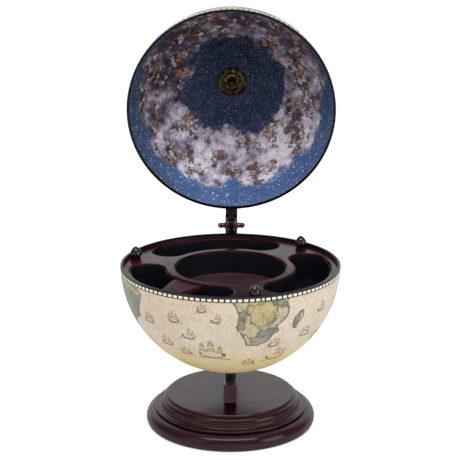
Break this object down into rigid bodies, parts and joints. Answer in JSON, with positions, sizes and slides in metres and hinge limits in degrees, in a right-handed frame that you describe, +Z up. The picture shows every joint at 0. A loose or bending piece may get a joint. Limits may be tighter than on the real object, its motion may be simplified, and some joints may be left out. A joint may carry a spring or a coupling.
{
  "type": "tabletop globe bar",
  "caption": "Hollow globe on a turned foot that opens at its equator on a rear hinge; its bowl holds a fitted drinks tray with a well and curved pockets",
  "frame": {"origin": "on the table under the middle of the foot, in the plane of the felt's underside", "axes": "+Z up; the hinge is at +Y and the front of the bar looks along -Y; +X is to the right of a person who stands in front"},
  "size_m": [0.3306, 0.5444, 0.615],
  "materials": {
    "lacquered_wood": "dark red-brown mahogany stain under satin lacquer",
    "dark_wood": "black-brown stain under satin lacquer",
    "moulded_shell": "moulded shell covered with printed antique paper",
    "black_edging": "black gloss edging",
    "equator_tape": "black printed tape with a row of white squares",
    "black_liner": "black semi-gloss moulded liner",
    "black_bush": "black turned bush",
    "brass": "polished brass",
    "antique_brass": "dark antique brass",
    "steel": "zinc plated steel",
    "felt": "dark felt"
  },
  "bodies": {
    "stand": {"foot": "lacquered_wood", "felt_pad": "felt", "arm_screws": "steel", "lower_arm": "dark_wood", "lower_bolt": "steel", "lower_bush": "black_bush", "hub_washer": "steel", "hub_nut": "steel", "hinge_pin": "brass", "hinge_washers": "brass", "hinge_nuts": "brass"},
    "bowl": {"bowl_shell": "moulded_shell", "bowl_rim": "black_edging", "bowl_band": "equator_tape", "bowl_hub": "dark_wood", "tray_ledge": "dark_wood", "tray_board": "lacquered_wood", "well_liner": "black_liner", "well_floor": "lacquered_wood", "liner_back": "black_liner", "liner_left": "black_liner", "liner_right": "black_liner", "pocket_block": "lacquered_wood", "finials": "lacquered_wood"},
    "upper_arm": {"upper_arm": "dark_wood", "dome_bolt": "brass", "upper_bush": "black_bush", "dome_nut": "antique_brass"},
    "dome": {"dome_shell": "moulded_shell", "dome_rim": "black_edging", "dome_band": "equator_tape", "rosette": "antique_brass"}
  },
  "joints": [
    {"name": "bowl_spin", "type": "hinge", "parent": "stand", "child": "bowl", "pos_m": [0, 0, 0.252], "axis": [0, 0, 1], "continuous": true},
    {"name": "globe_hinge", "type": "hinge", "parent": "stand", "child": "upper_arm", "pos_m": [0, 0.19594, 0.2567], "axis": [1, 0, 0], "range_deg": [0, 82.2]},
    {"name": "dome_spin", "type": "hinge", "parent": "upper_arm", "child": "dome", "pos_m": [0, 0.16529, 0.45027], "axis": [0, 0.9907, 0.1357], "continuous": true}
  ]
}
